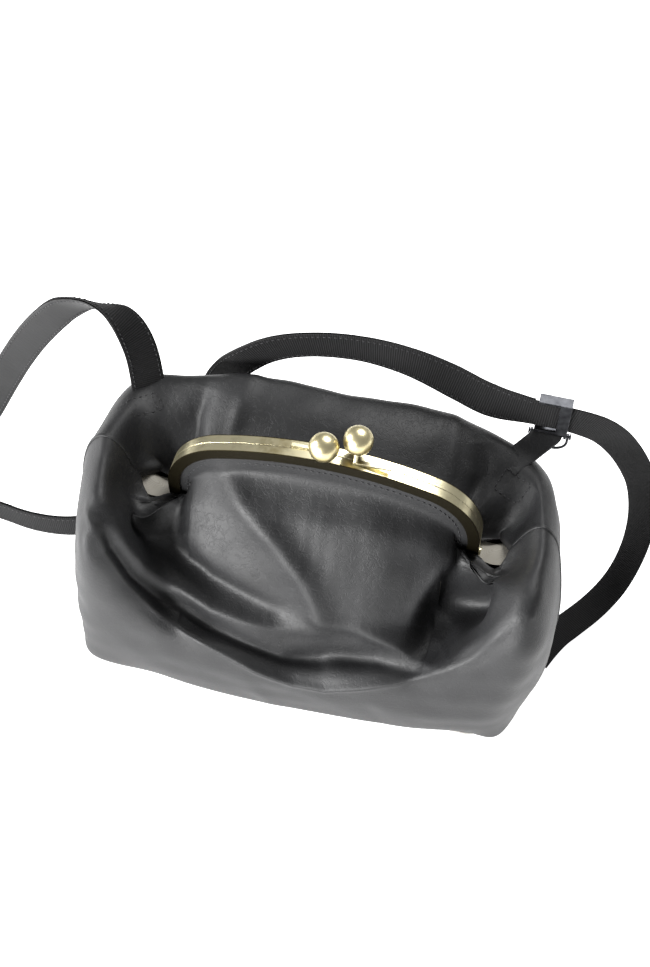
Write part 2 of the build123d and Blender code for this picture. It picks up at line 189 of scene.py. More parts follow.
dress(("front_rail", "back_rail", "front_clasp_arm", "back_clasp_arm",
       "left_hinge_rivet", "right_hinge_rivet"),
      brass_finish("rail_brass", (0.76, 0.70, 0.47), (0.27, 0.225, 0.12), 0.28))

# ---- Clasp balls ----
# Hollow brass balls, pressed in halves and soldered to a leaning stem. Their colour is painted
# lighter on top and darker low down and round the stem: painted highlight and painted shade.


def ball_finish():
    """Antique brass, painted lighter on top and darker in painted shade towards the underside."""
    brass = Finish("ball_brass")
    place = brass.place()
    height = brass.node("ShaderNodeSeparateXYZ", {}, place, out="Z")
    clouds = brass.noise(place, 90.0, 3.0)
    # shine is painted light from the height: a painted highlight on top, painted shade below
    shine = (height + 0.008 * clouds).over(0.232, 0.250)
    return brass.surface(
        Base_Color=brass.colours(shine, (0.0, (0.10, 0.075, 0.03)), (0.55, (0.44, 0.37, 0.18)),
                                 (1.0, (0.74, 0.66, 0.40))),
        Metallic=1.0,
        Roughness=0.36 - 0.06 * shine + 0.06 * clouds)


dress(("front_clasp_ball", "back_clasp_ball"), ball_finish())

# ---- Stiffener and filler cords ----
# A grey board stiffens the base under the lining. A twisted paper cord is pushed into each
# channel to wedge the leather. Both stay out of sight in a finished bag.


def paper_finish(name, light, dark, scale):
    """Matt fibres: a stretched cloud pattern in two near colours."""
    paper = Finish(name, Roughness=0.9)
    fibres = paper.noise(paper.place((1, 3, 1)), scale, 4.0, 0.65)
    return paper.surface(Base_Color=paper.colours(fibres, (0.3, dark), (0.7, light)),
                         Normal=paper.bump(fibres, 0.00015, 0.5))


dress(("base_board",),
      paper_finish("grey_board", (0.36, 0.35, 0.33), (0.24, 0.23, 0.22), 300.0))
dress(("front_filler_cord", "back_filler_cord"),
      paper_finish("paper_cord", (0.52, 0.44, 0.31), (0.36, 0.29, 0.19), 900.0))

# ---- Leather panels ----
# The front and the back are each one piece of soft black leather, sewn together down both
# sides and gripped along the top by a rail. The slack front has sunk into a lip and folds.

# Columns run from the left seam round the panel to the right seam. Each lists its points
# from under the base up to the bend below the hem.
front_net = [
    [(-156, 0, 0.4), (-168, 0, 2), (-178, 0, 30), (-182, 0, 84), (-174, 0, 154),
     (-162, 0, 188), (-151, 0, 196), (-141, 0, 188), (-135, 0, 170)],
    [(-156, -38, 0.4), (-171, -44, 2), (-172, -47, 30), (-172, -51, 78), (-163, -52, 146),
     (-154, -46, 178), (-144, -37, 187), (-137, -27, 178), (-129, -18, 163)],
    [(-150, -62, 0.4), (-163, -73, 2), (-162, -76, 30), (-157, -79, 76), (-150, -80, 130),
     (-145, -76, 166), (-133, -60, 175), (-121, -42, 168), (-107, -22, 160)],
    [(-116, -66, 0.4), (-119, -76, 2), (-124, -84, 29), (-127, -87, 64), (-126, -86, 104),
     (-120, -79, 128), (-113, -63, 136), (-105, -42, 140), (-97, -19, 152)],
    [(-85, -69, 0.4), (-85, -79, 2), (-85, -87, 27), (-85, -90, 54), (-85, -89, 78),
     (-85, -81, 91), (-85, -64, 103), (-85, -46, 128), (-85, -21, 163)],
    [(-39, -71, 0.4), (-39, -81, 2), (-40, -88, 25), (-41, -92, 50), (-42, -92, 74),
     (-42, -83, 88), (-40, -66, 100), (-38, -51, 134), (-38, -25, 179)],
    [(6, -71, 0.4), (6, -80, 2), (6, -87, 24), (6, -92, 46), (6, -94, 64),
     (6, -85, 79), (6, -67, 94), (6, -54, 130), (6, -28, 178)],
    [(51, -69, 0.4), (51, -78, 2), (52, -86, 25), (52, -91, 50), (53, -92, 74),
     (53, -84, 88), (52, -66, 99), (51, -52, 132), (50, -26, 178)],
    [(97, -66, 0.4), (97, -74, 2), (97, -84, 27), (97, -89, 58), (97, -88, 86),
     (97, -80, 101), (97, -64, 108), (97, -45, 128), (97, -21, 161)],
    [(130, -60, 0.4), (133, -68, 2), (139, -79, 29), (143, -85, 68), (144, -84, 112),
     (138, -77, 138), (128, -61, 142), (117, -42, 142), (107, -19, 152)],
    [(148, -55, 0.4), (158, -65, 2), (161, -68, 30), (166, -72, 76), (168, -75, 136),
     (159, -70, 170), (147, -56, 177), (135, -40, 170), (120, -22, 160)],
    [(157, -24, 0.4), (169, -29, 2), (175, -37, 32), (180, -44, 80), (178, -47, 144),
     (170, -42, 176), (159, -34, 187), (148, -26, 176), (139, -18, 162)],
    [(159, 0, 0.4), (172, 0, 2), (180, 0, 34), (183, 0, 88), (175, 0, 152),
     (168, 0, 180), (159, 0, 190), (150, 0, 184), (143, 0, 168)],
]
back_net = [
    front_net[0],
    [(-156, 36, 0.4), (-169, 42, 2), (-176, 48, 30), (-179, 53, 84), (-170, 52, 150),
     (-160, 44, 180), (-148, 36, 188), (-139, 28, 182), (-129, 18, 164)],
    [(-148, 58, 0.4), (-160, 68, 2), (-165, 77, 30), (-164, 82, 86), (-157, 77, 150),
     (-148, 68, 181), (-136, 56, 185), (-124, 42, 180), (-108, 22, 168)],
    [(-116, 63, 0.4), (-119, 73, 2), (-124, 84, 30), (-128, 91, 88), (-126, 84, 155),
     (-120, 72, 188), (-112, 58, 190), (-104, 42, 184), (-96, 20, 170)],
    [(-85, 65, 0.4), (-85, 75, 2), (-85, 86, 30), (-85, 93, 88), (-85, 87, 161),
     (-85, 75, 195), (-85, 61, 199), (-85, 42, 190), (-85, 18, 176)],
    [(-39, 66, 0.4), (-39, 76, 2), (-40, 87, 30), (-41, 94, 88), (-41, 89, 163),
     (-41, 78, 197), (-40, 64, 201), (-39, 44, 198), (-38, 18, 190)],
    [(6, 66, 0.4), (6, 76, 2), (6, 87, 30), (6, 94, 88), (6, 88, 163),
     (6, 77, 196), (6, 64, 201), (6, 44, 199), (6, 18, 192)],
    [(51, 66, 0.4), (51, 76, 2), (52, 86, 30), (53, 92, 88), (53, 88, 163),
     (53, 79, 196), (52, 63, 200), (51, 42, 196), (50, 18, 190)],
    [(97, 64, 0.4), (97, 74, 2), (97, 84, 30), (97, 90, 88), (97, 87, 158),
     (97, 76, 191), (97, 61, 195), (97, 41, 186), (97, 18, 176)],
    [(130, 58, 0.4), (133, 67, 2), (138, 80, 30), (142, 87, 88), (135, 79, 154),
     (129, 67, 185), (123, 55, 188), (118, 42, 182), (108, 20, 169)],
    [(149, 48, 0.4), (159, 56, 2), (168, 68, 30), (167, 71, 86), (155, 70, 150),
     (147, 61, 178), (140, 50, 184), (131, 38, 178), (120, 22, 168)],
    [(157, 24, 0.4), (168, 27, 2), (178, 38, 32), (177, 46, 86), (167, 46, 150),
     (160, 41, 177), (152, 32, 186), (149, 26, 180), (139, 18, 163)],
    front_net[-1],
]
leather_t = 1.6
left_split = 4             # these columns lie in a plane of one x, where the panels are divided
right_split = 8
left_plane = -85.0
right_plane = 97.0
hem_y = 6.0                # the gripped leather lies this far from the frame's middle plane
mouth_end_y = 10.5         # halfway from a foot to the side seam it stands out this far
mouth_half_z = 150.0       # and this high, with the side seam's end a little higher
mouth_seam_z = 152.0
mouth_ends = (             # column of the foot, column of the seam, x halfway, x at the seam
    (2, 0, -119, -131),
    (10, 12, 131, 140),
)
column_steps = 18
row_steps = 15
hem_rows = (16.5, 3.5)     # how far in from the arch's outer edge the hem starts and ends
frame_x = 6.0
frame_half_w = 112.5
corner_r = 52.0
corner_x = 60.5
corner_z = 162.7
leg_foot_z = 151.0
rail_slope = math.radians(17.5)


def spline_weights(count, at):
    """Weights of a natural cubic spline through count even knots, at the parameters at.

    Each curve point is a sum of B-spline humps, whose heights are solved so that the curve
    passes through every knot and has no bend at its ends.
    """
    solve = np.zeros((count + 2, count + 2))
    for k in range(count):
        solve[k + 1, k:k + 3] = (1 / 6, 2 / 3, 1 / 6)
    solve[0, :3] = (1, -2, 1)
    solve[-1, -3:] = (1, -2, 1)
    heights = np.linalg.inv(solve)[:, 1:-1]
    knot = np.minimum(at.astype(int), count - 2)
    t = at - knot
    humps = np.zeros((len(at), count + 2))
    rows = np.arange(len(at))
    humps[rows, knot] = (1 - t) ** 3 / 6
    humps[rows, knot + 1] = (3 * t ** 3 - 6 * t ** 2 + 4) / 6
    humps[rows, knot + 2] = (-3 * t ** 3 + 3 * t ** 2 + 3 * t + 1) / 6
    humps[rows, knot + 3] = t ** 3 / 6
    return humps @ heights


def ease(value, low, high):
    """0 below low, 1 above high, and a smooth step between."""
    t = np.clip((value - low) / (high - low), 0, 1)
    return t * t * (3 - 2 * t)


def arch_curve(inset, s):
    """Point on the frame's arch, drawn in by inset, at s from -1 (left foot) to 1 (right).

    The legs are straight, each corner is an arc of the corner radius, and the top is a
    flatter arc that meets the corner arcs at one slope. s runs with the length of the curve.
    """
    radius = corner_r - inset
    top_radius = corner_r + corner_x / math.sin(rail_slope) - inset
    leg = corner_z - leg_foot_z
    bend = radius * (math.pi / 2 - rail_slope)
    top = top_radius * rail_slope
    run = (1 - np.abs(s)) * (leg + bend + top)
    turn = np.clip((run - leg) / radius, 0, math.pi / 2 - rail_slope)
    flat = np.clip((run - leg - bend) / top_radius, 0, rail_slope)
    side = np.where(run < leg, frame_half_w - inset, corner_x + radius * np.cos(turn))
    height = np.where(run < leg, leg_foot_z + run, corner_z + radius * np.sin(turn))
    on_top = run > leg + bend
    side = np.where(on_top, top_radius * np.sin(rail_slope - flat), side)
    top_z = corner_z + radius * math.cos(rail_slope) - top_radius * math.cos(rail_slope)
    height = np.where(on_top, top_z + top_radius * np.cos(rail_slope - flat), height)
    return frame_x + np.sign(s) * side, height


def arch_place(inset, x):
    """The s at which the arch, drawn in by inset, reaches this x on its top or corners."""
    s = np.linspace(-1, 1, 2001)
    return np.interp(x, arch_curve(inset, s)[0], s)


def hem_line(u, inset, facing):
    """The panel's gripped edge at column u: on the arch between the feet, and outside them
    on a line that climbs from each foot to the end of the side seam. The row where the hem
    starts stands a few millimetres further out and higher there than the edge itself."""
    left, right = arch_place(inset, left_plane), arch_place(inset, right_plane)
    s = np.interp(u, (2, left_split, right_split, 10), (-1, left, right, 1))
    x, z = arch_curve(inset, s)
    y = np.full_like(x, facing * hem_y)
    back_off = (inset - hem_rows[1]) / (hem_rows[0] - hem_rows[1])
    for foot, seam, edge_x, seam_x in mouth_ends:
        away = np.clip((u - foot) / (seam - foot), 0, 1)
        near_x, near_z = arch_curve(inset, np.array([math.copysign(1, seam - foot)]))
        knots = (0, 0.5, 1)
        edge_y = facing * (mouth_end_y + 4 * back_off)
        beyond = away > 0
        x = np.where(beyond, np.interp(away, knots, (near_x[0], edge_x, seam_x)), x)
        y = np.where(beyond, np.interp(away, knots, (facing * hem_y, edge_y, 0)), y)
        z = np.where(beyond, np.interp(away, knots, (near_z[0], mouth_half_z + 4 * back_off,
                                                     mouth_seam_z + 7 * back_off)), z)
    return np.stack([x, y, z], axis=-1)


def panel(net, facing):
    """Grid of a panel's outer face: a spline across the columns of the net, then a spline up
    each of the resulting lines, through the two rows of the hem."""
    net = np.array(net, float)
    u = np.linspace(0, len(net) - 1, (len(net) - 1) * column_steps + 1)
    across = np.einsum("uc,crk->urk", spline_weights(len(net), u), net)
    hems = np.stack([hem_line(u, inset, facing) for inset in hem_rows], axis=1)
    lines = np.concatenate([across, hems], axis=1)
    rows = lines.shape[1]
    v = np.linspace(0, rows - 1, (rows - 1) * row_steps + 1)
    grid = np.einsum("vr,urk->uvk", spline_weights(rows, v), lines)
    from_seam = np.minimum(u, len(net) - 1 - u)
    held = ease(v, rows - 3.0, rows - 2.2)[None, :] * ease(from_seam, 1.6, 2.2)[:, None]
    grid[..., 1] = grid[..., 1] * (1 - held) + facing * hem_y * held
    return u, v, grid


def unit(vectors):
    """The same directions at length one."""
    return vectors / np.maximum(np.linalg.norm(vectors, axis=-1, keepdims=True), 1e-9)


def grid_normals(grid, facing):
    """Unit normals of a grid: the cross product of the directions along its two parameters."""
    return unit(np.cross(np.gradient(grid, axis=0), np.gradient(grid, axis=1)) * -facing)


def fold(grid, normals, route, height, width):
    """Raise or sink the panel along a route. The height falls off with the distance d from
    the route as 1 / (1 + (d / width)^2)^2, and fades towards both ends of the route."""
    route = np.array(route, float)
    near = np.full(grid.shape[:2], 1e9)
    fade = np.zeros(grid.shape[:2])
    spans = len(route) - 1
    for k in range(spans):
        run = route[k + 1] - route[k]
        t = np.clip(((grid - route[k]) @ run) / (run @ run), 0, 1)
        gap = np.linalg.norm(grid - route[k] - t[..., None] * run, axis=-1)
        at = (k + t) / spans
        closer = gap < near
        near = np.where(closer, gap, near)
        fade = np.where(closer, np.sin(math.pi * (0.12 + 0.76 * at)), fade)
    lift = height * fade / (1 + (near / width) ** 2) ** 2
    return lift[..., None] * normals


def keep_split_planes(grid):
    """Put the two dividing columns back in their planes."""
    grid[left_split * column_steps, :, 0] = left_plane
    grid[right_split * column_steps, :, 0] = right_plane
    return grid


front_folds = [
    ([(-150, -52, 184), (-145, -60, 181), (-130, -72, 160), (-118, -75, 134), (-100, -77, 105),
      (-76, -82, 88), (-50, -87, 82), (-21, -92, 74), (6, -94, 68), (30, -93, 70), (55, -91, 80),
      (80, -87, 90), (105, -81, 105), (128, -77, 129), (141, -72, 153), (160, -62, 176)], 3.4, 4.5),
    ([(-137, -56, 178), (-126, -68, 160), (-112, -72, 132), (-94, -70, 106), (-64, -75, 92),
      (-35, -80, 88), (-4, -82, 80), (20, -80, 82)], -10.5, 9),
    ([(-141, -46, 186), (-134, -58, 177), (-120, -62, 157), (-104, -62, 134), (-86, -60, 112),
      (-62, -64, 101), (-35, -68, 99), (-10, -66, 97), (12, -61, 99)], 6.5, 12),
    ([(-122, -18, 166), (-117, -28, 164), (-110, -38, 150), (-100, -45, 134), (-86, -49, 122),
      (-68, -53, 115), (-44, -57, 112), (-18, -58, 108)], -15.0, 15),
    ([(-118, -20, 162), (-112, -34, 154), (-104, -42, 138)], -14.0, 17),
    ([(-62, -8, 190), (-47, -22, 180), (-19, -38, 164), (4, -50, 142), (16, -58, 122),
      (22, -64, 104)], 7.0, 14),
    ([(-52, -34, 152), (-30, -46, 138), (-10, -58, 118)], -3.0, 13),
    ([(14, -60, 112), (46, -60, 110), (71, -62, 103), (92, -72, 101), (112, -81, 112)], 6.0, 11),
    ([(2, -79, 82), (30, -76, 88), (60, -74, 94), (84, -78, 98)], -9.0, 10),
    ([(128, -20, 160), (122, -32, 154), (112, -42, 140), (102, -49, 126), (94, -58, 112),
      (92, -68, 100)], -26.0, 17),
    ([(120, -30, 150), (112, -42, 138), (102, -50, 120)], -10.0, 17),
    ([(110, -12, 165), (96, -28, 152), (86, -44, 130), (82, -58, 108)], 5.0, 9),
    ([(164, -48, 184), (152, -62, 173), (138, -68, 152), (124, -70, 132),
      (110, -76, 118)], 3.5, 10),
    ([(-30, -94, 62), (-20, -90, 34), (-14, -84, 8)], 1.4, 12),
    ([(60, -92, 60), (66, -88, 34), (70, -82, 8)], -1.6, 12),
]
back_folds = [
    ([(-62, 78, 200), (-66, 50, 196), (-70, 22, 186)], 2.5, 8),
    ([(-96, 60, 196), (-100, 40, 184), (-96, 20, 174)], -6.0, 11),
    ([(84, 76, 196), (86, 48, 190), (88, 20, 180)], 3.0, 8),
    ([(106, 60, 192), (112, 40, 180), (106, 20, 172)], -6.0, 11),
    ([(-20, 94, 120), (0, 96, 90), (24, 92, 50)], 1.6, 18),
    ([(40, 92, 150), (70, 94, 110), (90, 90, 70)], -1.8, 16),
]


def slack(u, v, grid, normals, seed):
    """Small unevenness of soft hide: a sum of slow sine waves over the panel, and short
    gathers under the hem that die out down the panel."""
    draw = np.random.default_rng(seed)
    height = np.zeros(grid.shape[:2])
    for _ in range(14):
        pitch = draw.uniform(26, 60)
        direction = unit(draw.normal(size=3))
        phase = draw.uniform(0, 2 * math.pi)
        height += draw.uniform(0.06, 0.22) * np.sin(grid @ direction * 2 * math.pi / pitch + phase)
    rows = v[-1]
    gather = ease(v, rows - 4.2, rows - 1.9) * (1 - ease(v, rows - 1.75, rows - 1.3))
    ripple = np.zeros_like(u)
    for _ in range(9):
        ripple += draw.uniform(0.25, 0.7) * np.sin(u * draw.uniform(8, 26) + draw.uniform(0, 6))
    height += 0.05 * ripple[:, None] * gather[None, :]
    free = 1 - ease(v, rows - 1.9, rows - 1.4)
    foot = ease(v, 1.4, 3.0)
    return (height * (free * foot)[None, :])[..., None] * normals


leather = {}
for side, net, folds, facing, seed in (("front", front_net, front_folds, -1, 11),
                                       ("back", back_net, back_folds, 1, 23)):
    u, v, grid = panel(net, facing)
    smooth = grid_normals(grid, facing)
    moved = grid + slack(u, v, grid, smooth, seed)
    for route, height, width in folds:
        moved = moved + fold(grid, smooth, route, height, width)
    seam = ease(np.minimum(u, u[-1] - u), 0.0, 0.45)[:, None, None]
    moved = grid * (1 - seam) + moved * seam
    moved[..., 2] = np.maximum(moved[..., 2], 0.4)
    moved = keep_split_planes(moved)
    leather[side] = (u, v, moved, grid_normals(moved, facing))


mm = 0.001                 # in metres


def add_object(name, data):
    """Object in the scene that holds a mesh, a lamp or a camera."""
    made = bpy.data.objects.new(name, data)
    bpy.context.scene.collection.objects.link(made)
    return made


def make_mesh(name, points, quads, finish, corner_normals=None, uv=None):
    """Mesh object from points in millimetres and quads, smooth shaded, with its finish."""
    mesh = bpy.data.meshes.new(name)
    mesh.from_pydata((points * mm).tolist(), [], [list(quad) for quad in quads])
    mesh.shade_smooth()
    if uv is not None:
        layer = mesh.uv_layers.new(name="along")
        corners = np.empty(len(mesh.loops), dtype=np.int32)
        mesh.loops.foreach_get("vertex_index", corners)
        layer.data.foreach_set("uv", uv[corners].ravel().astype(np.float32))
    if corner_normals is not None:
        mesh.normals_split_custom_set(corner_normals.tolist())
    mesh.materials.append(finish)
    return add_object(name, mesh)


def grid_quads(m, n, flip):
    """Quads of an m by n grid, wound the other way when flip is set."""
    a = (np.arange(m - 1)[:, None] * n + np.arange(n - 1)[None, :]).ravel()
    quads = np.stack([a, a + n, a + n + 1, a + 1], axis=1)
    return quads[:, ::-1] if flip else quads


def shell(name, outer, inner, normals, finish, flip):
    """Closed sheet: an outer grid, an inner grid and a rim of quads between their borders.

    The faces keep the normals that the whole panel has, so that no line shows where a panel
    is divided; the rim takes its own.
    """
    m, n = outer.shape[:2]
    count = m * n
    faces_out = grid_quads(m, n, flip)
    faces_in = grid_quads(m, n, not flip) + count
    index = np.arange(count).reshape(m, n)
    border = np.concatenate([index[:-1, 0], index[-1, :-1], index[:0:-1, -1], index[0, :0:-1]])
    after = np.roll(border, -1)
    rim = np.stack([border, border + count, after + count, after], axis=1)
    if flip:
        rim = rim[:, ::-1]
    points = np.concatenate([outer.reshape(-1, 3), inner.reshape(-1, 3)])
    flat = normals.reshape(-1, 3)
    corner_normals = np.concatenate([
        flat[faces_out.ravel()], -flat[faces_in.ravel() - count], np.zeros((rim.size, 3))])
    quads = np.concatenate([faces_out, faces_in, rim])
    return make_mesh(name, points, quads, finish, corner_normals)


def leather_finish():
    """Smooth dyed hide: fine pebble grain, soft mottling and a low wax shine."""
    hide = Finish("black_leather", Specular_IOR_Level=0.45)
    place = hide.place()
    clouds = hide.noise(place, 26.0, 4.0, 0.55)
    pebble = hide.cells(place, 1150.0)
    fine = hide.noise(place, 2400.0, 2.0)
    crease = hide.noise(place, 150.0, 4.0, 0.62, 0.6)
    crinkle = (crease - 0.5).math("ABSOLUTE").over(0.0, 0.05)
    grain = 0.7 * pebble + 0.3 * fine
    creased = hide.bump(crinkle, 0.00022, 0.35)
    return hide.surface(
        Base_Color=hide.colours(clouds, (0.3, (0.0035, 0.0036, 0.0041)),
                                (0.7, (0.0075, 0.0077, 0.0086))),
        Roughness=0.46 + 0.12 * clouds + 0.06 * fine,
        Normal=hide.bump(grain, 0.00008, 0.5, creased))


black_leather = leather_finish()
# where a rail's pull begins, its direction, its gain along that, and the rail's body
pull = {"front": ((0, -90, 75), (0, 75, 120), 1.35, "front_frame"),
        "back": ((0, 78, 170), (0, -62, 12), 1.25, "back_frame")}
side_fade = 45.0           # the pull of a rail dies out over this width beside a division


def bend_with_rail(piece, side, part):
    """Work out how a rail would pull a piece of a panel, and bake the piece's placement into its
    mesh; the piece is not bent.

    The pull grows along one direction from the lip to the rail; beside the divisions it also
    falls with the distance outwards, by the same amount on both pieces that meet there. The
    end point of the pull is computed and left unused.
    """
    origin, direction, gain, rail_body = pull[side]
    slope = np.array(direction, float)
    gradient = slope * gain / (slope @ slope)
    plane_x, outwards = {"left": (left_plane, 1), "middle": (frame_x, 0),
                         "right": (right_plane, -1)}[part]
    gradient[0] = outwards / side_fade
    start = np.array([plane_x, origin[1], origin[2]])
    end = start + gradient / (gradient @ gradient)
    tuple(end * mm)
    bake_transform(piece)


cuts = {"left": (0, left_split * column_steps + 1),
        "middle": (left_split * column_steps, right_split * column_steps + 1),
        "right": (right_split * column_steps, len(front_net) * column_steps)}
for side, facing in (("front", -1), ("back", 1)):
    outer, normals = leather[side][2:]
    inner = keep_split_planes(outer - normals * leather_t)
    pieces = {}
    for part, (first, last) in cuts.items():
        pieces[part] = shell(f"{side}_leather_{part}", outer[first:last], inner[first:last],
                             normals[first:last], black_leather, facing > 0)
        bend_with_rail(pieces[part], side, part)
    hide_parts(f"{side}_panel", f"{side}_mouth_leather")

# ---- Hem stitching ----
# One row of waxed thread holds the leather's turned edge below each rail. Every stitch is a
# short thread that dives into the hide at both ends.
thread_r = 0.38
hem_stitch_pitch = 4.3
hem_stitch_len = 3.1
hem_stitch_inset = 14.0


def tube_sides(m, n):
    """Quads round a tube of m rings of n points each."""
    k = np.arange(m - 1)[:, None] * n + np.arange(n)
    around = np.arange(m - 1)[:, None] * n + (np.arange(n) + 1) % n
    return np.stack([k, around, around + n, k + n], axis=-1).reshape(-1, 4)


def lengths(line):
    """Distance along a line of points, from its start to each point."""
    return np.concatenate([[0], np.cumsum(np.linalg.norm(np.diff(line, axis=0), axis=1))])


def read_along(at, run, values):
    """Vectors that are known at the distances run, read at the distances at."""
    return np.stack([np.interp(at, run, values[:, k]) for k in range(3)], axis=1)


def stitches(name, at, along, normals, length, finish):
    """Threads of one length: each is a bar of six sides whose middle stands proud by its own
    thickness and whose ends sink in, by 1 - (2t)^2 of the rise for t from -1/2 to 1/2."""
    t = np.linspace(-0.5, 0.5, 6)
    ring = np.arange(6) * math.pi / 3
    slim = np.sqrt(1 - 0.9 * (2 * t) ** 4)
    rise = thread_r * (0.7 - 1.5 * (2 * t) ** 2)
    side = np.cross(along, normals)
    points = (at[:, None, None, :]
              + along[:, None, None, :] * (t * length)[None, :, None, None]
              + normals[:, None, None, :] * rise[None, :, None, None]
              + thread_r * slim[None, :, None, None]
              * (side[:, None, None, :] * np.cos(ring)[None, None, :, None]
                 + normals[:, None, None, :] * np.sin(ring)[None, None, :, None]))
    count, rings, sides = points.shape[:3]
    around = np.roll(tube_sides(rings, sides)[:, ::-1], 1, axis=1)
    ends = np.array([[0, 1, 2, 3], [0, 3, 4, 5]])
    one = np.concatenate([around, ends, (rings - 1) * sides + ends[:, ::-1]])
    quads = (np.arange(count)[:, None, None] * rings * sides + one[None]).reshape(-1, 4)
    return make_mesh(name, points.reshape(-1, 3), quads, finish)


def thread_finish():
    """Waxed twisted thread: slanting twist lines under a slight shine."""
    thread = Finish("black_thread", Specular_IOR_Level=0.45)
    twist = thread.node("ShaderNodeTexWave", {}, Vector=thread.place((1, 1, 1), (0, 0.8, 0.6)),
                        Scale=900.0, Distortion=1.0, out=1)
    return thread.surface(
        Base_Color=thread.colours(twist, (0.2, (0.006, 0.006, 0.007)),
                                  (0.8, (0.022, 0.022, 0.024))),
        Roughness=0.42 + 0.2 * twist,
        Normal=thread.bump(twist, 0.00006, 0.6))


black_thread = thread_finish()
for side, facing in (("front", -1), ("back", 1)):
    line_s = np.linspace(-0.985, 0.985, 1200)
    x, z = arch_curve(hem_stitch_inset, line_s)
    line = np.stack([x, np.full_like(x, facing * hem_y), z], axis=1)
    run = lengths(line)
    count = int(run[-1] / hem_stitch_pitch)
    middle = (np.arange(count) + 0.5) / count * run[-1]
    at = read_along(middle, run, line)
    outwards = np.tile((0.0, facing, 0.0), (count, 1))
    row = stitches(f"{side}_hem_stitches", at, unit(read_along(middle + 1, run, line) - at),
                   outwards, hem_stitch_len, black_thread)
    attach(row, f"{side}_frame")
    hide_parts(f"{side}_mouth_stitching")

# ---- Side seams ----
# The panels are sewn edge to edge down each side, and a narrow leather welt covers the seam
# from the base over the shoulder to where the mouth begins.


def tube_faces(m, n):
    """Faces of a tube of m rings of n points each, with both its ends closed."""
    return tube_sides(m, n).tolist() + [list(range(n))[::-1], list(range((m - 1) * n, m * n))]


def carry(name, centre, across, face, profile, finish):
    """Profile carried along a path: each profile point (a, b) sits a along the across
    direction and b along the face direction from the path. UV is metres across and along."""
    points = (centre[:, None, :] + across[:, None, :] * profile[None, :, 0, None]
              + face[:, None, :] * profile[None, :, 1, None])
    uv = np.stack(np.broadcast_arrays(profile[None, :, 0], lengths(centre)[:, None]), axis=-1) * mm
    return make_mesh(name, points.reshape(-1, 3), tube_faces(len(centre), len(profile)), finish,
                     uv=uv.reshape(-1, 2))


def band_profile(width, low, high, count=28, square=0.32):
    """Flat oval between two heights: a circle whose cosine and sine are raised to a small
    power, so that the faces are flat and the edges rounded. It runs clockwise."""
    angle = -np.arange(count) * 2 * math.pi / count
    c, s = np.cos(angle), np.sin(angle)
    a = np.sign(c) * np.abs(c) ** square * width / 2
    b = np.sign(s) * np.abs(s) ** 0.55 * (high - low) / 2 + (high + low) / 2
    return np.stack([a, b], axis=1)


seam_w = 3.0
seam_rows = slice(4, int(8.6 * row_steps))
for name, column in (("left", 0), ("right", -1)):
    line = leather["front"][2][column, seam_rows]
    outwards = unit(leather["front"][3][column, seam_rows] + leather["back"][3][column, seam_rows])
    tangent = unit(np.gradient(line, axis=0))
    welt = carry(f"{name}_side_seam", line, unit(np.cross(tangent, outwards)), outwards,
                 band_profile(seam_w, -0.6, 0.7, 14, 0.6), black_leather)
    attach(welt, "body")

# ---- Cotton lining ----
# A cream cotton bag hangs inside the leather, is cut and sewn from panels of its own, and
# follows the leather up to the hem in the middle of the mouth.


def cotton_finish():
    """Plain weave: two crossed sets of fine lines, with a little slub."""
    cotton = Finish("cream_cotton", Sheen_Weight=0.15, Roughness=0.92)
    place = cotton.place()
    warp = cotton.node("ShaderNodeTexWave", {"bands_direction": "X"}, Vector=place, Scale=560.0,
                       Distortion=1.5, out=1)
    weft = cotton.node("ShaderNodeTexWave", {"bands_direction": "Z"}, Vector=place, Scale=560.0,
                       Distortion=1.5, out=1)
    slub = cotton.noise(place, 160.0, 3.0)
    weave = 0.5 * warp + 0.5 * weft
    return cotton.surface(
        Base_Color=cotton.colours(0.6 * weave + 0.4 * slub, (0.25, (0.24, 0.225, 0.19)),
                                  (0.75, (0.36, 0.34, 0.30))),
        Normal=cotton.bump(weave, 0.00012, 0.5))


cream_cotton = cotton_finish()
lining_depth = 3.0         # how far it hangs inside the leather's face before it is eased
lining_gap = 0.6
lining_t = 0.6
easing_passes = 6
fitting_rounds = 8         # each round pushes it back inside the leather and eases it once
# extra distance off the leather, kept up to the first row and gone by the second
lining_slack = {"front": (3.0, 6.4, 8.0), "back": (0.0, 6.4, 8.0)}
lining_rows = {            # the rows of the panel that each piece of the lining covers
    "front": (("left", 1.4, 5.0), ("middle", 1.4, 9.5), ("right", 1.4, 5.0)),
    "back": (("left", 1.4, 5.0), ("middle", 1.4, 5.0), ("middle_mouth", 7.4, 9.5),
             ("right", 1.4, 5.0)),
}


def relaxed(grid, passes):
    """The grid with its small folds eased: each inner point moves to the mean of itself and
    its four neighbours, and the border stays."""
    grid = grid.copy()
    for _ in range(passes):
        around = grid[:-2, 1:-1] + grid[2:, 1:-1] + grid[1:-1, :-2] + grid[1:-1, 2:]
        grid[1:-1, 1:-1] = (grid[1:-1, 1:-1] + around) / 5
    return grid


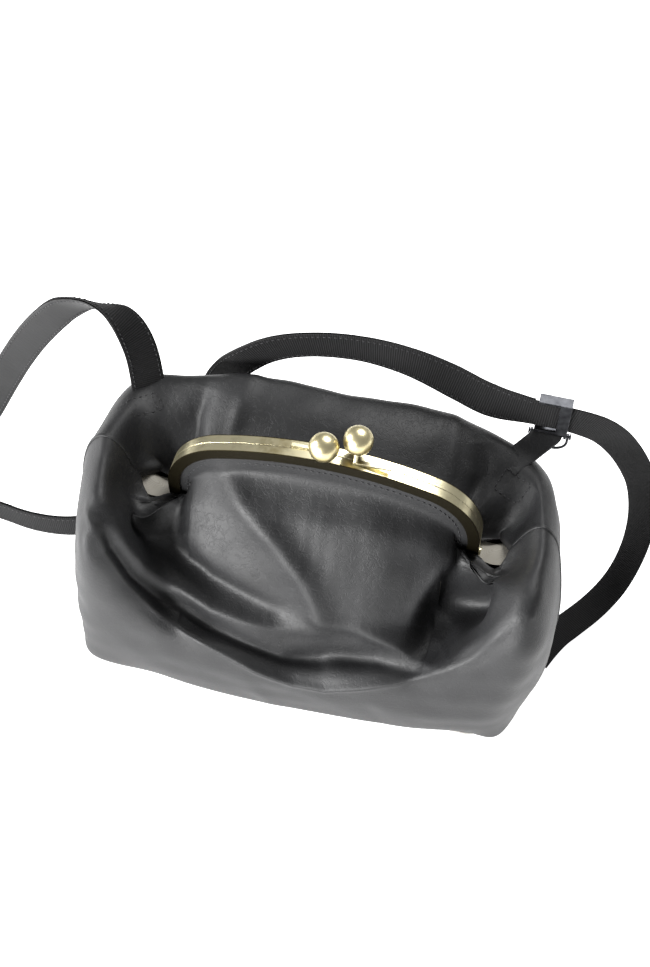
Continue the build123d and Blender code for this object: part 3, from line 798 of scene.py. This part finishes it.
for side, facing in (("front", -1), ("back", 1)):
    _, v, outer, normals = leather[side]
    extra, full_row, last_row = lining_slack[side]
    stand_off = extra * (1 - ease(v, full_row, last_row))[None, :, None]
    near = relaxed(outer - normals * (lining_depth + stand_off), easing_passes)
    for _ in range(fitting_rounds):
        rise = ((near - outer) * normals).sum(-1, keepdims=True)
        rise = rise + leather_t + lining_gap + stand_off
        near = relaxed(near - normals * np.maximum(rise, 0), 1)
    normals = grid_normals(near, facing)
    far = keep_split_planes(near - normals * lining_t)
    near = keep_split_planes(near)
    pieces = {}
    for part, low_row, high_row in lining_rows[side]:
        region = part.split("_")[0]
        first, last = cuts[region]
        columns = slice(first, last, 2)
        rows = slice(int(low_row * row_steps), int(high_row * row_steps), 2)
        pieces[part] = shell(f"{side}_lining_{part}", near[columns, rows], far[columns, rows],
                             normals[columns, rows], cream_cotton, facing > 0)
        bend_with_rail(pieces[part], side, region)
    if side == "front":
        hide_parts("lining")


def base_sheet(name, low, high, margin, finish):
    """Closed flat sheet inside the base outline: rings shrink from the outline to the middle."""
    outline = np.concatenate([leather["front"][2][:-1:6, 8], leather["back"][2][::-1][:-1:6, 8]])
    centre = outline.mean(axis=0)
    reach = np.linalg.norm((outline - centre)[:, :2], axis=1, keepdims=True)
    outline = centre + (outline - centre) * (1 - margin / reach)
    share = np.array([1.0, 0.985, 0.8, 0.55, 0.3, 0.1])
    flat = centre[None, None] + (outline - centre)[None] * share[:, None, None]
    top, bottom = flat.copy(), flat.copy()
    lift = np.where(share > 0.99, 0.3, 0.0)[:, None] * (high - low)
    top[..., 2] = high - lift
    bottom[..., 2] = low + lift
    rings = np.concatenate([bottom[::-1], top])
    return make_mesh(name, rings.reshape(-1, 3), tube_faces(*rings.shape[:2]), finish)


lining_floor = base_sheet("lining_floor", 4.8, 5.6, 6.0, cream_cotton)
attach(lining_floor, "body")

# ---- Base panel ----
# A flat piece of the same leather, sewn to both panels round its edge.
base_leather = base_sheet("base_leather", 0.3, 2.2, 2.0, black_leather)
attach(base_leather, "body")
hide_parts("base_panel")

# ---- Mouth tucks ----
# At each end of the mouth the cotton lies as a shallow saddle between the leather edges, and
# it is the part of the lining that shows when the bag is shut.
tuck_y = 2.0
tuck_half_w = 10.0
tuck_t = 0.7
tuck_ends = {"left": ((-136, 150), (-104, 147)), "right": ((144, 150), (116, 147))}
for name, (high_end, low_end) in tuck_ends.items():
    a = np.linspace(0, 1, 15)[:, None]
    b = np.linspace(-1, 1, 19)[None, :]
    x = high_end[0] + (low_end[0] - high_end[0]) * a + 0 * b
    y = (tuck_y + tuck_half_w * b) * (1 - 0.2 * a)
    z = high_end[1] + (low_end[1] - high_end[1]) * a - 4 * b ** 2 - 1.2 * np.sin(9 * a + 3 * b)
    top = np.stack([x, y, z], axis=-1)
    up = np.array([0.0, 0.0, 1.0])
    tuck = shell(f"{name}_mouth_tuck", top, top - tuck_t * up, np.broadcast_to(up, top.shape),
                 cream_cotton, name == "right")
    tuck.data.normals_split_custom_set(np.zeros((len(tuck.data.loops), 3)).tolist())
    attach(tuck, "body")

# ---- Shoulder strap ----
# Black ribbed webbing, 25 mm wide, backed with leather that is sewn on along both edges. It
# starts in a slit behind the left shoulder, loops out and round the bag, passes through the
# adjuster and ends on the floor.

# The strap's route: a point and the direction across the strap's width there, three numbers
# each.
strap_route = np.array([
    (-139, 54, 166, 0.83, 0.56, 0), (-142, 63, 194, 0.8, 0.6, 0),
    (-148, 69, 222, 0.66, 0.74, -0.1), (-162, 75, 240, 0.38, 0.83, -0.41),
    (-184, 79, 242, -0.05, 0.6, -0.8), (-206, 83, 228, 0.2, 0.25, -0.93),
    (-224, 86, 206, 0.66, 0, -0.74), (-243, 89, 180, 0.74, -0.1, -0.66),
    (-262, 90, 150, 0.82, -0.15, -0.52), (-281, 88, 116, 0.87, -0.1, -0.47),
    (-300, 85, 80, 0.87, -0.1, -0.48), (-321, 80, 44, 0.8, -0.1, -0.6),
    (-339, 70, 18, 0.4, 0, -0.9), (-346, 54, 13.2, 0, 0, -1), (-338, 40, 13.2, 0, 0, -1),
    (-318, 36, 13.2, 0, 0, -1), (-284, 34, 13.2, 0, 0, -1), (-250, 28, 13.2, 0, 0, -1),
    (-214, 32, 13.2, 0, 0, -1), (-190, 47, 13.2, 0, 0, -1), (-180, 72, 13.6, 0, 0, -1),
    (-168, 95, 20, 0.2, 0.1, -1), (-150, 108, 40, 0.45, 0.15, -0.85),
    (-132, 112, 70, 0.75, 0.1, -0.6), (-118, 112, 104, 0.85, 0, -0.5),
    (-106, 108, 138, 0.85, 0, -0.5), (-94, 99, 168, 0.8, 0, -0.6),
    (-79, 90, 194, 0.5, 0.1, -0.85), (-56, 94, 211, 0.1, 0.05, -1), (-26, 98, 219, 0, 0.05, -1),
    (10, 99, 223, 0, 0, -1), (46, 94, 224, -0.1, -0.15, -0.98), (78, 86, 221, -0.15, -0.4, -0.9),
    (106, 78, 216, -0.1, -0.4, -0.9), (133, 80, 211.5, 0, -0.05, -1), (168, 80, 210.5, 0, 0, -1),
    (190, 89, 194, -0.35, 0, -0.93), (206, 98, 168, -0.5, 0.05, -0.86),
    (219, 104, 141, -0.6, 0.1, -0.78), (229, 108, 114, -0.68, 0.2, -0.71),
    (236, 107, 76, -0.74, 0.39, -0.55), (236, 98, 43, -0.73, 0.55, -0.4),
    (229, 82, 19, -0.69, 0.67, -0.25), (215, 62, 8, -0.66, 0.72, -0.2),
    (199, 42, 6.5, -0.6, 0.77, -0.16), (183, 23, 6, -0.75, 0.65, -0.1),
    (174, 2, 6, -0.95, 0.3, -0.05),
])
strap_w = 25.0
webbing_band = (0.15, 1.65)                # lower and upper face above the route
backing_band = (-1.7, 0.1)
backing_end = (139.0, 80.0, 211.3)         # just before the adjuster


def route_spline(points):
    """Points along a smooth curve that has the route's points as its control points."""
    curve = bpy.data.curves.new("strap_route", "CURVE")
    curve.dimensions = "3D"
    spline = curve.splines.new("NURBS")
    spline.points.add(len(points) - 1)
    for knot, point in zip(spline.points, points):
        knot.co = (*point, 1.0)
    spline.order_u = 3
    spline.use_endpoint_u = True
    spline.resolution_u = 12
    holder = bpy.data.objects.new("strap_route", curve)
    mesh = bpy.data.meshes.new_from_object(holder)
    line = np.empty(len(mesh.vertices) * 3)
    mesh.vertices.foreach_get("co", line)
    bpy.data.meshes.remove(mesh)
    bpy.data.objects.remove(holder)
    bpy.data.curves.remove(curve)
    return line.reshape(-1, 3)


strap_path = route_spline(strap_route[:, :3] / 1000)
strap_line = strap_path * 1000
knots = np.arange(len(strap_route)) - 0.5
at_knots = np.linspace(0, len(strap_route) - 2, len(strap_line))
strap_across = read_along(at_knots, knots, strap_route[:, 3:])
strap_along = unit(np.gradient(strap_line, axis=0))
strap_across = unit(strap_across - strap_along * (strap_across * strap_along).sum(1, keepdims=True))
strap_face = np.cross(strap_across, strap_along)


def webbing_finish():
    """Matt woven webbing: ribs across it, each broken into slanting threads."""
    webbing = Finish("black_webbing", Specular_IOR_Level=0.2)
    place = webbing.along()
    ribs = webbing.node("ShaderNodeTexWave", {"bands_direction": "Y"}, Vector=place, Scale=190.0,
                        Distortion=0.6, Detail=1.0, out=1)
    threads = webbing.node("ShaderNodeTexWave", {"bands_direction": "X"}, Vector=place,
                           Scale=330.0, Distortion=1.2, Detail=1.0, out=1)
    weave = ribs * (0.6 + 0.4 * threads)
    return webbing.surface(
        Base_Color=webbing.colours(weave, (0.1, (0.003, 0.003, 0.003)),
                                   (0.9, (0.016, 0.016, 0.017))),
        Roughness=0.72 + 0.15 * threads,
        Normal=webbing.bump(weave, 0.00035, 0.8))


def strap_leather_finish():
    """Edge-cut hide with a soft shine, small bend wrinkles across it and fine grain."""
    hide = Finish("strap_leather", Specular_IOR_Level=0.22)
    place = hide.along()
    wrinkles = hide.noise(hide.along((0.25, 1, 1)), 420.0, 3.0, 0.6)
    pebble = hide.cells(place, 1300.0)
    clouds = hide.noise(place, 60.0, 3.0)
    return hide.surface(
        Base_Color=hide.colours(clouds, (0.3, (0.003, 0.003, 0.0033)),
                                (0.7, (0.007, 0.007, 0.0075))),
        Roughness=0.34 + 0.14 * clouds,
        Normal=hide.bump(pebble, 0.00006, 0.5, hide.bump(wrinkles, 0.0003, 0.35)))


black_webbing = webbing_finish()
strap_leather = strap_leather_finish()
strap_run = lengths(strap_line)
webbing = carry("shoulder_webbing", strap_line, strap_across, strap_face,
                band_profile(strap_w, *webbing_band), black_webbing)
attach(webbing, "body")
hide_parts("strap_webbing")
backed = int(np.argmin(np.linalg.norm(strap_line - backing_end, axis=1)))
backing = carry("shoulder_backing", strap_line[:backed], strap_across[:backed],
                strap_face[:backed], band_profile(strap_w - 1.0, *backing_band), strap_leather)
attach(backing, "body")
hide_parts("strap_leather")

edge_stitch_pitch = 4.0
edge_stitch_len = 2.9
edge_inset = 2.6
edge_rows = ((-1.62, -1), (1.55, 1))       # height above the route, and which way is outwards
count = int(strap_run[backed - 1] / edge_stitch_pitch)
middle = (np.arange(count) + 0.5) * edge_stitch_pitch
along = unit(read_along(middle, strap_run, strap_along))
face = unit(read_along(middle, strap_run, strap_face))
rows = []
for edge in (-1, 1):
    for level, outwards in edge_rows:
        row_line = strap_line + strap_across * edge * (strap_w / 2 - edge_inset)
        at = read_along(middle, strap_run, row_line + strap_face * level)
        rows.append((at, along, face * outwards))
edge_stitches = stitches("shoulder_edge_stitches", *map(np.concatenate, zip(*rows)),
                         edge_stitch_len, black_thread)
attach(edge_stitches, "body")

# ---- Strap anchor ----
# The strap's end passes in through a slit behind the left shoulder, and box stitches hold it
# to the inside of the leather.
box_stitch_pitch = 3.9
box_stitch_len = 3.0
double_row = 0.72          # the doubled row stands this far along the half width


def box_of_stitches(name, side, centre, across, along, width, length, doubled):
    """Threads round a box, laid on the nearest leather: each point is moved along the normal
    of the nearest place on the panel until it lies on it."""
    outer, normals = leather[side][2:]
    flat, flat_normals = outer.reshape(-1, 3), normals.reshape(-1, 3)
    corner = ((-1, -1), (1, -1), (1, 1), (-1, 1), (-1, -1))
    lines = list(zip(corner, corner[1:]))
    if doubled:
        lines.append(((double_row, -1), (double_row, 1)))
    at, along_all = [], []
    for ends in lines:
        first, final = [centre + across * a * width / 2 + along * b * length / 2 for a, b in ends]
        run = final - first
        number = max(2, int(np.linalg.norm(run) / box_stitch_pitch))
        at.append(first + run * ((np.arange(number) + 0.5) / number)[:, None])
        along_all.append(np.tile(run / np.linalg.norm(run), (number, 1)))
    at, along_all = np.concatenate(at), np.concatenate(along_all)
    nearest = np.argmin(((at[:, None] - flat[None, ::3]) ** 2).sum(-1), axis=1) * 3
    up = flat_normals[nearest]
    at = at - up * ((at - flat[nearest]) * up).sum(1, keepdims=True)
    along_all = unit(along_all - up * (along_all * up).sum(1, keepdims=True))
    row = stitches(name, at, along_all, up, box_stitch_len, black_thread)
    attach(row, "body")
    return row


anchor_box = box_of_stitches("anchor_stitches", "back", np.array((-138.0, 41.0, 186.0)),
                             unit(np.array((0.75, 0.6, 0.0))), unit(np.array((0.55, -0.75, -0.1))),
                             23.0, 15.0, True)
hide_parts("strap_anchor_stitching")

# ---- Adjuster ----
# A polished gunmetal slider that the strap is threaded through. Its pin carries the leather
# tab and a small bail.


def gunmetal_finish():
    """Dark nickel plating over cast metal, a little cloudy."""
    plate = Finish("gunmetal")
    clouds = plate.noise(plate.place(), 220.0, 3.0)
    rounded = plate.node("ShaderNodeBevel", {"samples": 4}, Radius=0.0006)
    return plate.surface(
        Base_Color=plate.colours(clouds, (0.3, (0.035, 0.036, 0.04)), (0.7, (0.075, 0.077, 0.083))),
        Metallic=1.0,
        Roughness=0.34 + 0.14 * clouds,
        Normal=plate.bump(clouds, 0.00003, 0.3, rounded))


dress(("buckle_frame", "buckle_pin", "d_bail"), gunmetal_finish())

# ---- Leather tab ----
# A folded strap of leather round the adjuster's pin. Both its ends pass in through a slit at
# the right shoulder and are box stitched inside.
pin_at = np.array((151.0, 80.0, 190.6))
tab_root = np.array((126.0, 50.0, 182.35))
tab_w = 18.4
tab_t = 1.6
tab_loop_r = 2.4
tab_half_gap = 0.95        # the two legs lie this far either side of the line between them


def smooth_along(points, passes):
    """Even out a line of points: each moves to the mean of itself and its neighbours."""
    for _ in range(passes):
        points[1:-1] = (points[:-2] + 2 * points[1:-1] + points[2:]) / 4
    return points


leg = tab_root - pin_at
down = unit(np.array((0.0, leg[1], leg[2])))
out = np.cross(down, (1.0, 0.0, 0.0))
sweep = np.linspace(-math.pi / 2, math.pi / 2, 17)
loop = (pin_at - down * tab_loop_r * np.cos(sweep)[:, None]
        + out * tab_loop_r * np.sin(sweep)[:, None])
far = np.linspace(1, 0.06, 12)[:, None]
spread = tab_half_gap + (tab_loop_r - tab_half_gap) * (1 - far) ** 4
lower = pin_at + leg * far - out * spread
upper = pin_at + leg * far[::-1] + out * spread[::-1]
tab_line = smooth_along(np.concatenate([lower, loop, upper]), 2)
tab_along = unit(np.gradient(tab_line, axis=0))
tab_across = unit(np.array((1.0, 0.0, 0.0)) - tab_along * tab_along[:, :1])
tab = carry("adjuster_tab", tab_line, tab_across, np.cross(tab_across, tab_along),
            band_profile(tab_w, -tab_t / 2, tab_t / 2), black_leather)
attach(tab, "body")
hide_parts("buckle_tab")
tab_box = box_of_stitches("tab_stitches", "back", np.array((132.0, 36.0, 180.0)),
                          unit(np.array((0.85, -0.5, 0.0))), unit(np.array((0.3, 0.6, 0.5))),
                          20.0, 17.0, False)
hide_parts("tab_stitching")

# ---- Floor, light and camera ----
# A white backlit sweep of paper under soft light from low in front, from the left and from
# high behind, seen from above and a little to the right.
floor_mesh = bpy.data.meshes.new("floor")
half_floor = 4.0
floor_mesh.from_pydata([(x * half_floor, y * half_floor, 0)
                        for x, y in ((-1, -1), (1, -1), (1, 1), (-1, 1))], [], [(0, 1, 2, 3)])
floor = add_object("floor", floor_mesh)
paper_white = Finish("paper_white", Roughness=0.9)
paper_white.surface(Base_Color=(0.93, 0.93, 0.93, 1.0), Emission_Color=(1.0, 1.0, 1.0, 1.0),
                    Emission_Strength=1.0)
floor_mesh.materials.append(paper_white.material)

world = bpy.data.worlds.new("studio")
world.use_nodes = True
surround = world.node_tree.nodes["Background"]
surround.inputs["Color"].default_value = (1.0, 1.0, 1.0, 1.0)
surround.inputs["Strength"].default_value = 0.30
bpy.context.scene.world = world
bpy.context.scene.view_settings.view_transform = "Standard"


def softbox(name, position, aim, width, height, power):
    """Large rectangular lamp that faces a point."""
    lamp = bpy.data.lights.new(name, "AREA")
    lamp.shape = "RECTANGLE"
    lamp.size = width
    lamp.size_y = height
    lamp.energy = power
    made = add_object(name, lamp)
    made.location = position
    made.rotation_euler = (Vector(aim) - Vector(position)).to_track_quat("-Z", "Y").to_euler()


softbox("front_light", (-1.3, -2.0, 0.45), (0, 0, 0.1), 1.2, 0.6, 130)
softbox("side_light", (-2.0, -0.4, 1.0), (0, 0, 0.1), 1.0, 1.0, 60)
softbox("top_light", (0.5, 1.3, 2.2), (0, 0, 0.1), 1.2, 1.0, 60)

lens = bpy.data.cameras.new("camera")
lens.lens = 50.0
lens.sensor_width = 36.0
eye = add_object("camera", lens)
distance, azimuth, elevation = 0.925, math.radians(13.8), math.radians(54)
target = Vector((0.007, 0.0, 0.190))
towards = Vector((math.sin(azimuth) * math.cos(elevation),
                  -math.cos(azimuth) * math.cos(elevation), math.sin(elevation)))
eye.location = target + towards * distance
eye.rotation_euler = (-towards).to_track_quat("-Z", "Y").to_euler()
bpy.context.scene.camera = eye
